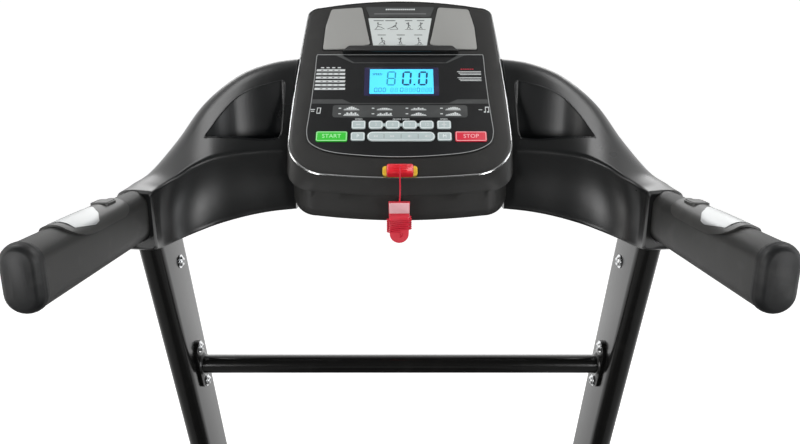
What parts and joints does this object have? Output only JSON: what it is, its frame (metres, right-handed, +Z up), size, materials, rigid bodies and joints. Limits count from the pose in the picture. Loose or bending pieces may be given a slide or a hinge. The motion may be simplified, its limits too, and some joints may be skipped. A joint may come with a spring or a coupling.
{
  "type": "folding treadmill",
  "caption": "Folding home treadmill with a tilted console, hand-pulse handlebars, bottle pockets and a strut-assisted running deck.",
  "frame": {"origin": "middle of the footprint, on the floor", "axes": "+Z up; +Y towards the motor end, the way the runner faces; +X to the runner's right"},
  "size_m": [0.696, 1.6, 1.2766],
  "materials": {
    "frame_steel": "satin black powder coat",
    "upright_steel": "semi-gloss black paint",
    "handle_steel": "satin charcoal paint",
    "foot_rubber": "moulded, slightly shiny",
    "wheel_rubber": "moulded tread",
    "gloss_shell": "glossy black moulding",
    "console_shell": "satin black moulding",
    "grip_plastic": "satin black moulding",
    "overlay": "printed black overlay",
    "lcd": "lit blue liquid-crystal display",
    "silver_plastic": "silver-painted plastic",
    "key_grey": "printed pale grey membrane",
    "key_green": "printed green membrane",
    "key_red": "printed red membrane",
    "red_plastic": "red moulding",
    "yellow_plastic": "yellow moulding",
    "red_cord": "twisted red cord",
    "board": "waxed fibreboard, dark lower face",
    "belt_rubber": "black woven-backed belt",
    "bright_steel": "turned steel",
    "deck_plastic": "fine-grained black moulding",
    "motor_paint": "black enamel",
    "chrome": "hard chrome"
  },
  "bodies": {
    "frame": {"base_rail_l": "frame_steel", "base_rail_r": "frame_steel", "base_front_tube": "frame_steel", "base_rear_tube": "frame_steel", "upright_l": "upright_steel", "upright_r": "upright_steel", "crossbar": "upright_steel", "handlebar_l": "handle_steel", "handlebar_r": "handle_steel", "base_foot_l": "foot_rubber", "base_foot_r": "foot_rubber", "handle_cap_l": "foot_rubber", "handle_cap_r": "foot_rubber", "arm_l": "gloss_shell", "arm_r": "gloss_shell", "console_front": "console_shell", "console_back": "console_shell", "pulse_grip_l": "grip_plastic", "pulse_grip_r": "grip_plastic", "keypad_panel": "overlay", "display_module": "lcd", "speaker_l": "silver_plastic", "speaker_r": "silver_plastic", "safety_socket": "yellow_plastic"},
    "deck": {"deck_beam_l": "frame_steel", "deck_beam_r": "frame_steel", "motor_bed": "frame_steel", "running_board": "board", "running_belt": "belt_rubber", "side_rail_l": "deck_plastic", "side_rail_r": "deck_plastic", "rear_cap_l": "deck_plastic", "rear_cap_r": "deck_plastic", "deck_foot_l": "foot_rubber", "deck_foot_r": "foot_rubber", "motor_hood": "deck_plastic", "motor": "motor_paint", "drive_belt": "belt_rubber"},
    "front_roller": {"front_roller": "bright_steel"},
    "rear_roller": {"rear_roller": "bright_steel"},
    "motor_pulley": {"motor_pulley": "bright_steel"},
    "strut_cylinder": {"strut_cylinder": "frame_steel"},
    "strut_rod": {"strut_rod": "chrome"},
    "transport_wheel_l": {"transport_wheel_l": "wheel_rubber"},
    "transport_wheel_r": {"transport_wheel_r": "wheel_rubber"},
    "safety_key": {"safety_key": "red_plastic", "lanyard": "red_cord", "lanyard_clip": "red_plastic", "lanyard_winding": "red_cord"},
    "power_switch": {"power_switch": "red_plastic"},
    "handle_key_l": {"handle_key_l": "grip_plastic"},
    "handle_key_r": {"handle_key_r": "grip_plastic"},
    "key_start": {"key_start": "key_green"},
    "key_stop": {"key_stop": "key_red"},
    "key_speed_down": {"key_speed_down": "key_grey"},
    "key_speed_up": {"key_speed_up": "key_grey"},
    "key_program": {"key_program": "key_grey"},
    "key_mode": {"key_mode": "key_grey"},
    "quick_speed_keys": {"quick_speed_keys": "key_grey"},
    "media_keys": {"media_keys": "key_grey"}
  },
  "joints": [
    {"name": "deck_fold", "type": "hinge", "parent": "frame", "child": "deck", "pos_m": [0, 0.52, 0.11], "axis": [-1, 0, 0], "range_deg": [0, 70]},
    {"name": "front_roller_spin", "type": "hinge", "parent": "deck", "child": "front_roller", "pos_m": [0, 0.4, 0.1355], "axis": [1, 0, 0], "continuous": true},
    {"name": "rear_roller_spin", "type": "hinge", "parent": "deck", "child": "rear_roller", "pos_m": [0, -0.745, 0.1355], "axis": [1, 0, 0], "continuous": true},
    {"name": "motor_pulley_spin", "type": "hinge", "parent": "deck", "child": "motor_pulley", "pos_m": [0, 0.51, 0.183], "axis": [1, 0, 0], "continuous": true},
    {"name": "strut_cylinder_turn", "type": "hinge", "parent": "frame", "child": "strut_cylinder", "pos_m": [-0.2655, 0.215, 0.045], "axis": [-1, 0, 0], "range_deg": [0, 86.02]},
    {"name": "strut_rod_slide", "type": "slide", "parent": "strut_cylinder", "child": "strut_rod", "axis": [0, -0.9993, 0.0385], "range_m": [0, 0.3039]},
    {"name": "wheel_l_spin", "type": "hinge", "parent": "frame", "child": "transport_wheel_l", "pos_m": [-0.323, 0.774, 0.026], "axis": [1, 0, 0], "continuous": true},
    {"name": "wheel_r_spin", "type": "hinge", "parent": "frame", "child": "transport_wheel_r", "pos_m": [0.323, 0.774, 0.026], "axis": [1, 0, 0], "continuous": true},
    {"name": "key_start_press", "type": "slide", "parent": "frame", "child": "key_start", "axis": [0, 0.766, -0.6428], "range_m": [0, 0.0008], "stiffness_N_per_m": 900, "springref_m": -0.0003},
    {"name": "key_stop_press", "type": "slide", "parent": "frame", "child": "key_stop", "axis": [0, 0.766, -0.6428], "range_m": [0, 0.0008], "stiffness_N_per_m": 900, "springref_m": -0.0003},
    {"name": "key_speed_down_press", "type": "slide", "parent": "frame", "child": "key_speed_down", "axis": [0, 0.766, -0.6428], "range_m": [0, 0.0008], "stiffness_N_per_m": 900, "springref_m": -0.0003},
    {"name": "key_speed_up_press", "type": "slide", "parent": "frame", "child": "key_speed_up", "axis": [0, 0.766, -0.6428], "range_m": [0, 0.0008], "stiffness_N_per_m": 900, "springref_m": -0.0003},
    {"name": "key_program_press", "type": "slide", "parent": "frame", "child": "key_program", "axis": [0, 0.766, -0.6428], "range_m": [0, 0.0008], "stiffness_N_per_m": 900, "springref_m": -0.0003},
    {"name": "key_mode_press", "type": "slide", "parent": "frame", "child": "key_mode", "axis": [0, 0.766, -0.6428], "range_m": [0, 0.0008], "stiffness_N_per_m": 900, "springref_m": -0.0003},
    {"name": "quick_speed_keys_press", "type": "slide", "parent": "frame", "child": "quick_speed_keys", "axis": [0, 0.766, -0.6428], "range_m": [0, 0.0008], "stiffness_N_per_m": 900, "springref_m": -0.0003},
    {"name": "media_keys_press", "type": "slide", "parent": "frame", "child": "media_keys", "axis": [0, 0.766, -0.6428], "range_m": [0, 0.0008], "stiffness_N_per_m": 900, "springref_m": -0.0003},
    {"name": "handle_key_l_press", "type": "slide", "parent": "frame", "child": "handle_key_l", "axis": [0, 0, -1], "range_m": [0, 0.0008], "stiffness_N_per_m": 900, "springref_m": -0.0003},
    {"name": "handle_key_r_press", "type": "slide", "parent": "frame", "child": "handle_key_r", "axis": [0, 0, -1], "range_m": [0, 0.0008], "stiffness_N_per_m": 900, "springref_m": -0.0003},
    {"name": "safety_key_pull", "type": "slide", "parent": "frame", "child": "safety_key", "axis": [0, -0.766, 0.6428], "range_m": [0, 0.03]},
    {"name": "power_switch_rock", "type": "hinge", "parent": "deck", "child": "power_switch", "pos_m": [0.215, 0.5925, 0.179], "axis": [-1, 0, 0], "range_deg": [0, 16]}
  ],
  "couplings": [
    {"joint": "rear_roller_spin", "follows": "front_roller_spin", "ratio": 1},
    {"joint": "motor_pulley_spin", "follows": "front_roller_spin", "ratio": 2.5714},
    {"joint": "strut_cylinder_turn", "follows": "deck_fold", "ratio": 1.2281},
    {"joint": "strut_rod_slide", "follows": "deck_fold", "m_per_rad": 0.2486}
  ]
}
